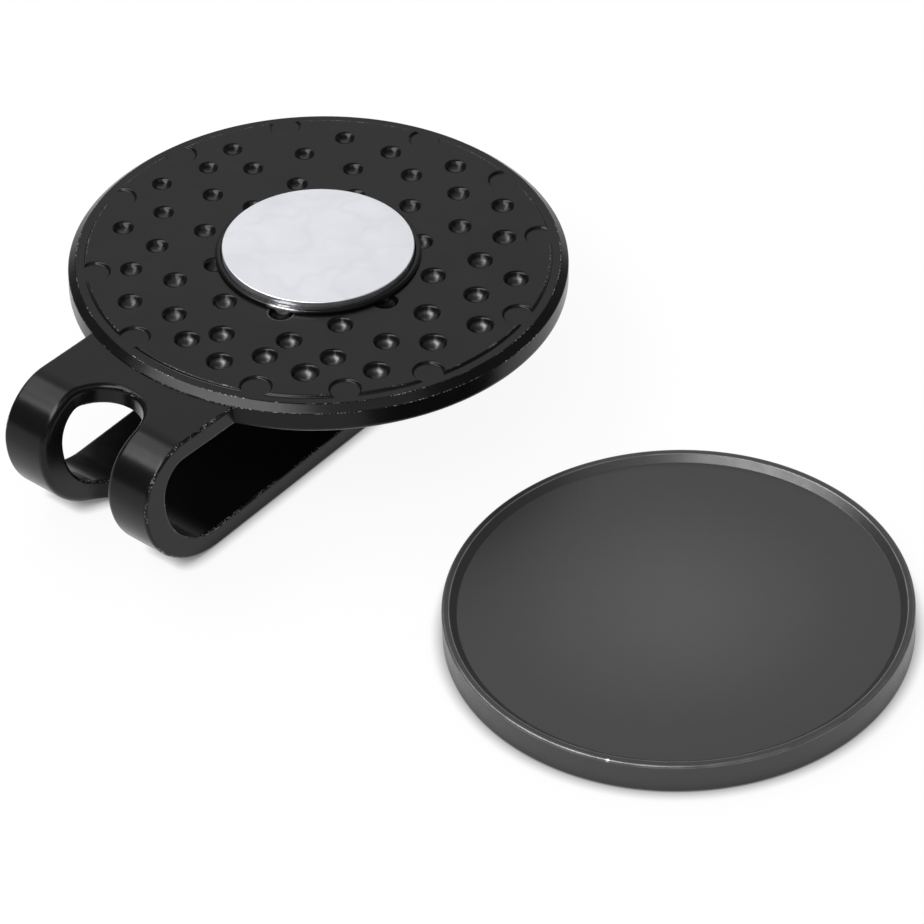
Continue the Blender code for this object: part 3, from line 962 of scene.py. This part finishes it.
def floor_material(finish):
    """Seamless white paper: white to the eye, with a painted contact shadow and a faint real shadow of what
    stands on it.
    """
    material, tree, shader = new_material("white_paper_floor")
    grain = map_range(tree, noise(tree, 40.0), 0.3, 0.7)
    paper = mix_colour(tree, grain, finish.floor, scaled(finish.floor, 0.985))
    feed(shader, {"Base Color": paper, "Roughness": 0.9})
    # Painted contact shadow: the white that the eye sees dims where ambient occlusion finds the object close
    # by
    painted_contact_shadow = outcome(tree, "ShaderNodeAmbientOcclusion", {"Distance": 0.8 * MM}, "AO", samples=16)
    strength = map_range(tree, painted_contact_shadow, 0.3, 0.95, 0.2, 1.02)
    white = outcome(tree, "ShaderNodeEmission", {"Color": (1.0, 1.0, 1.0, 1.0), "Strength": strength})
    path = add_node(tree, "ShaderNodeLightPath").outputs
    mirrored = maths(tree, "MAXIMUM", path["Is Glossy Ray"], path["Is Transmission Ray"])
    seen = maths(tree, "MAXIMUM", path["Is Camera Ray"], mirrored)
    share = maths(tree, "MULTIPLY", seen, 0.9)
    blend = outcome(tree, "ShaderNodeMixShader", {0: share, 1: shader.outputs["BSDF"], 2: white})
    feed(tree.nodes["Material Output"], {"Surface": blend})
    return material


def studio_world(stage):
    """White to the eye and through glass, an even fill on the object, and dim walls in its reflections."""
    world = bpy.data.worlds.new("studio_air")
    world.use_nodes = True
    tree = world.node_tree
    path = add_node(tree, "ShaderNodeLightPath").outputs
    lit = map_range(tree, path["Is Glossy Ray"], 0.0, 1.0, stage.ambient, stage.reflected)
    seen = maths(tree, "MAXIMUM", path["Is Camera Ray"], path["Is Transmission Ray"])
    strength = maths(tree, "MAXIMUM", lit, seen)
    feed(tree.nodes["Background"], {"Color": (1.0, 1.0, 1.0, 1.0), "Strength": strength})
    return world


# Operators


def settings():
    return bpy.context.scene.ball_marker


def plate_origin():
    """The centre of the plate's rim ring."""
    return MAGNET_TOP - PLATE_AXIS * settings().magnet.proud


def plate_frame():
    """Takes a place in the plate's own frame to the part's."""
    return Matrix.Translation(plate_origin()) @ Matrix.Rotation(-JAW_TAPER, 4, "X")


def rubbed_place():
    """The place on the magnet's lip where the coat is rubbed through, in the plate's own frame."""
    magnet = settings().magnet
    lip = MAGNET_RADIUS + magnet.clearance + magnet.lip_width
    return Vector((*polar(lip - 0.06 * MM, 21), settings().plate.field_height + magnet.lip_height))


def seat_tools(sizes, magnet):
    """The solid that opens the magnet's pocket, and the ring that becomes its wall and lip."""
    floor = magnet.proud - magnet.height - magnet.floor_gap
    pocket = MAGNET_RADIUS + magnet.clearance
    lip, middle = pocket + magnet.lip_width, pocket + magnet.lip_width / 2
    above, below = 2 * MM, floor - 0.1 * MM
    bore = [(0.0, above), (middle, above), (middle, floor), (0.0, floor)]
    top = sizes.field_height + magnet.lip_height
    ring = rounded(
        [
            (pocket, -0.2 * MM, 0.0),
            (pocket, top, magnet.pocket_round),
            (lip, top, magnet.lip_round),
            (lip, -0.4 * MM, 0.0),
        ],
        support=0.03 * MM,
    )
    seat = bmesh.new()
    add_ring(seat, ring + [(lip, below), (pocket, below)], SEAT_STEPS)
    close_up(seat)
    return turned_mesh(bore, SEAT_STEPS, "pocket_bore"), mesh_from(seat, "magnet_seat")


class BALLMARKER_OT_clip(bpy.types.Operator):
    """Build the dimpled plate and its hairpin spring as one coated body."""

    bl_idname = "ball_marker.clip"
    bl_label = "Cap Clip"

    def execute(self, context):
        sizes, magnet = settings().plate, settings().magnet
        turn = plate_frame()
        coat = black_coat_material(settings().finish, turn @ rubbed_place())
        thickness = (plate_origin() - PLATE_BACK).length
        shell = new_object("plate_shell", build_plate_shell(sizes, thickness, settings().ring_steps))
        shell.data.materials.append(coat)
        lip = MAGNET_RADIUS + magnet.clearance + magnet.lip_width
        bowl_mesh, collar = build_bowl(sizes, DIMPLE_FACETS)
        bowl = new_object("dimple_bowl", bowl_mesh)
        places = new_object("dimple_places", dimple_places(sizes, lip))
        centres = [vert.co.copy() for vert in places.data.vertices]
        values = {
            "Places": places,
            "Bowl": bowl,
            "Collar Radius": collar,
            "Facets": DIMPLE_FACETS,
            "Field Height": sizes.field_height,
            "Size Spread": SIZE_SPREAD,
            "Size Lean": sizes.size_lean,
            "Depth Lean": sizes.depth_lean,
            "Seed": SEED,
            "Material": coat,
        }
        field = shell.modifiers.new("dimpled field", "NODES")
        field.node_group = dimple_tree(values)
        set_inputs(field, values)
        plate = new_object("dimpled_plate", plain_mesh(shell, "dimpled_plate"))
        turn_outward(plate.data)
        for helper in (bowl, places):
            bpy.data.objects.remove(helper, do_unlink=True)

        bore, seat = seat_tools(sizes, magnet)
        hairpin_mesh = build_hairpin(Strip(settings().spring))
        hairpin_mesh.transform(turn.inverted())
        tools = [
            ("DIFFERENCE", new_object("pocket_bore", bore)),
            ("UNION", new_object("magnet_seat", seat)),
            ("UNION", new_object("hairpin", hairpin_mesh)),
        ]
        for operation, tool in tools:
            modifier = plate.modifiers.new(tool.name, "BOOLEAN")
            modifier.operation = operation
            modifier.object = tool
            modifier.solver = "EXACT"
        mesh = plain_mesh(plate, "clip_body_fine")
        for _, tool in tools:
            bpy.data.objects.remove(tool, do_unlink=True)
        # Handling wears no dimple, notch or lip, and the field only a little
        reach = 1.3 * collar
        spared = [(place, reach, 0.0) for place in centres]
        field_radius = PLATE_RADIUS - sizes.rim_band
        for angle in NOTCH_ANGLES:
            notch = Vector((*polar(field_radius - sizes.notch_inset, angle), 0.0))
            spared.append((notch, sizes.notch_radius + 0.2 * MM, 0.0))
        spared += [(Vector(), lip + 0.1 * MM, 0.0), (Vector(), field_radius + 0.15 * MM, 0.4)]
        kept = (rubbed_place(), 1.3 * MM)
        mark_edges(mesh, tightest=0.13 * MM, widest=0.28 * MM, spared=spared, kept=kept)
        mark_pits(mesh, centres, reach, deep=0.34 * MM)
        mesh.transform(turn)
        mesh.materials.clear()
        mesh.materials.append(coat)
        smooth(mesh)
        clip = new_object("clip_body_fine", mesh)
        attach(clip, "clip")
        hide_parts("clip_body")
        return {"FINISHED"}


class BALLMARKER_OT_magnet(bpy.types.Operator):
    """Build the magnet and finish the glue film beneath it."""

    bl_idname = "ball_marker.magnet"
    bl_label = "Magnet and Glue"

    def execute(self, context):
        sizes = settings().magnet
        low = sizes.proud - sizes.height
        profile = rounded(
            [
                (0.0, sizes.proud, 0.0),
                (MAGNET_RADIUS, sizes.proud, sizes.edge_round),
                (MAGNET_RADIUS, low, sizes.edge_round),
                (0.0, low, 0.0),
            ],
            steps=6,
        )
        mesh = turned_mesh(profile, SEAT_STEPS, "magnet_fine")
        mesh.transform(plate_frame())
        mesh.materials.append(nickel_material(settings().finish))
        smooth(mesh)
        magnet = new_object("magnet_fine", mesh)
        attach(magnet, "clip")
        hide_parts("magnet")
        glue = frame["nodes"]["magnet_adhesive"]
        glue.material_slots[0].material = glue_material(settings().finish)
        return {"FINISHED"}


class BALLMARKER_OT_marker(bpy.types.Operator):
    """Build the loose marker disc."""

    bl_idname = "ball_marker.marker"
    bl_label = "Marker Disc"

    def execute(self, context):
        sizes = settings().marker
        floor = MARKER_THICKNESS - sizes.recess_depth
        rim = MARKER_RADIUS - sizes.rim_width
        foot = rim - sizes.wall_slope
        flat = foot - 1.0 * MM
        profile = rounded(
            [
                (flat, floor, 0.0),
                (foot, floor, sizes.floor_fillet),
                (rim, MARKER_THICKNESS, sizes.rim_round),
                (MARKER_RADIUS, MARKER_THICKNESS, sizes.edge_round),
                (MARKER_RADIUS, 0.0, sizes.edge_round),
                (MARKER_RADIUS / 2, 0.0, 0.0),
                (0.0, 0.0, 0.0),
            ],
            steps=6,
        )
        dished = []
        for i in range(DISH_STEPS):
            share = i / DISH_STEPS
            dished.append((flat * share, floor - sizes.dish * (1 - share**2) ** 2))
        outline = dished + [tuple(point) for point in profile]
        mesh = turned_mesh(outline, settings().ring_steps, "marker_disc_fine")
        mesh.transform(Matrix.Translation((MARKER_CENTRE.x, MARKER_CENTRE.y, MARKER_LOW.z)))
        mesh.materials.append(marker_material(settings().finish, sizes))
        smooth(mesh)
        mark_edges(mesh, tightest=0.1 * MM, widest=0.5 * MM)
        marker = new_object("marker_disc_fine", mesh)
        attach(marker, "marker")
        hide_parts("marker_disc")
        return {"FINISHED"}


def direction(azimuth, elevation):
    """The unit vector towards a bearing, from -Y towards +X, and a height above the floor."""
    level = math.cos(elevation)
    return Vector((math.sin(azimuth) * level, -math.cos(azimuth) * level, math.sin(elevation)))


def add_softbox(name, azimuth, elevation, distance, size, radiance, centre, reflected_only=False):
    """A rectangular softbox facing the object, its angles in degrees and its size (width, height)."""
    back = direction(math.radians(azimuth), math.radians(elevation))
    light = bpy.data.lights.new(name, "AREA")
    light.shape = "RECTANGLE"
    light.size, light.size_y = size
    light.energy = radiance * math.pi * size[0] * size[1]
    obj = new_object(name, light)
    obj.location = centre + back * distance
    obj.rotation_mode = "QUATERNION"
    obj.rotation_quaternion = back.to_track_quat("Z", "Y")
    obj.visible_camera = False
    obj.visible_diffuse = not reflected_only


class BALLMARKER_OT_stage(bpy.types.Operator):
    """Build the floor, the softboxes and the camera."""

    bl_idname = "ball_marker.stage"
    bl_label = "Stage"

    def execute(self, context):
        stage = settings().stage
        bm = bmesh.new()
        bmesh.ops.create_grid(bm, x_segments=8, y_segments=8, size=2.0)
        floor = new_object("floor", mesh_from(bm, "floor"))
        floor.data.materials.append(floor_material(settings().finish))

        context.scene.world = studio_world(stage)

        centre = Vector((12 * MM, -3 * MM, 3 * MM))
        add_softbox("key_softbox", -14, 57, 0.35, (0.37, 0.15), 3.0, centre)
        add_softbox("key_reflector", -14, 57, 0.36, (0.38, 0.15), 5.2, centre, reflected_only=True)
        add_softbox("fill_reflector", 76, 58, 0.40, (0.22, 0.16), 0.9, centre, reflected_only=True)
        add_softbox("side_softbox", -87, 55, 0.35, (0.17, 0.12), 3.2, centre)
        add_softbox("back_softbox", -140, 36, 0.45, (0.40, 0.25), 0.8, centre)

        camera = bpy.data.cameras.new("camera")
        camera.lens = stage.lens
        camera.sensor_width = 36.0
        camera.clip_start, camera.clip_end = 0.01, 20.0
        viewer = new_object("camera", camera)
        back = direction(stage.azimuth, stage.elevation)
        right = Vector((0.0, 0.0, 1.0)).cross(back).normalized()
        up = back.cross(right)
        tilt = stage.roll
        rolled_right = right * math.cos(tilt) + up * math.sin(tilt)
        rolled_up = up * math.cos(tilt) - right * math.sin(tilt)
        turn = Matrix((rolled_right, rolled_up, back)).transposed().to_4x4()
        viewer.matrix_world = Matrix.Translation(Vector(stage.target) + back * stage.distance) @ turn
        context.scene.camera = viewer
        context.scene.view_settings.view_transform = "Standard"
        return {"FINISHED"}


class BALLMARKER_PT_panel(bpy.types.Panel):
    """Lists the builders of the ball marker."""

    bl_idname = "BALLMARKER_PT_panel"
    bl_label = "Ball Marker"
    bl_space_type = "VIEW_3D"
    bl_region_type = "UI"
    bl_category = "Ball Marker"

    def draw(self, context):
        for operator in OPERATORS:
            self.layout.operator(operator.bl_idname)


GROUPS = (SpringSizes, PlateSizes, MagnetSizes, MarkerSizes, Finishes, StageSettings, BallMarkerSettings)
OPERATORS = (BALLMARKER_OT_clip, BALLMARKER_OT_magnet, BALLMARKER_OT_marker, BALLMARKER_OT_stage)
CLASSES = (*GROUPS, *OPERATORS, BALLMARKER_PT_panel)


def register():
    for cls in CLASSES:
        bpy.utils.register_class(cls)
    bpy.types.Scene.ball_marker = PointerProperty(type=BallMarkerSettings)


def unregister():
    del bpy.types.Scene.ball_marker
    for cls in reversed(CLASSES):
        bpy.utils.unregister_class(cls)


def main():
    register()
    bpy.ops.ball_marker.clip()
    bpy.ops.ball_marker.magnet()
    bpy.ops.ball_marker.marker()
    bpy.ops.ball_marker.stage()


if __name__ == "__main__":
    main()
